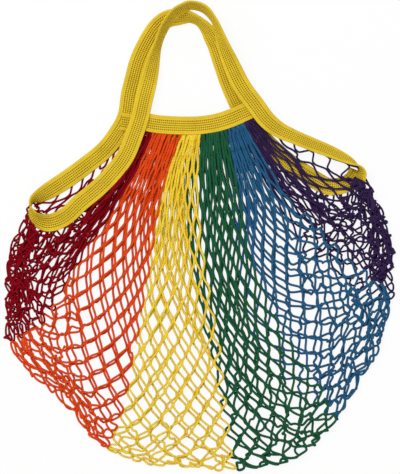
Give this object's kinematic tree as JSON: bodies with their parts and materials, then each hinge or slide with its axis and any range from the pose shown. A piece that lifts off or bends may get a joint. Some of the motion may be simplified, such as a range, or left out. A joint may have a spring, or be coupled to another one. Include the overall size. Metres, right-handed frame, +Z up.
{
  "type": "net shopping bag",
  "caption": "Empty knotless net shopping bag lying flat, in wide stripes of plain colour, with ribbed bands that bind its sides and mouth and form short handles.",
  "frame": {"origin": "middle of the bag's outline in plan, on the surface it lies on", "axes": "+X to the right and +Y towards the handles as one looks down on the bag's front, +Z up out of its front"},
  "size_m": [0.4096, 0.4909, 0.0334],
  "materials": {
    "yellow_band": "matt ribbed knitted cotton band",
    "net_dark_red": "matt twisted cotton yarn in an open knotless net",
    "net_orange": "matt twisted cotton yarn in an open knotless net",
    "net_yellow": "matt twisted cotton yarn in an open knotless net",
    "net_green": "matt twisted cotton yarn in an open knotless net",
    "net_blue": "matt twisted cotton yarn in an open knotless net",
    "net_purple": "matt twisted cotton yarn in an open knotless net"
  },
  "bodies": {
    "root": {"front_strip": "yellow_band", "back_strip": "yellow_band", "front_mouth_band": "yellow_band", "back_mouth_band": "yellow_band", "net_dark_red": "net_dark_red", "net_orange": "net_orange", "net_yellow": "net_yellow", "net_green": "net_green", "net_blue": "net_blue", "net_purple": "net_purple"}
  },
  "joints": []
}
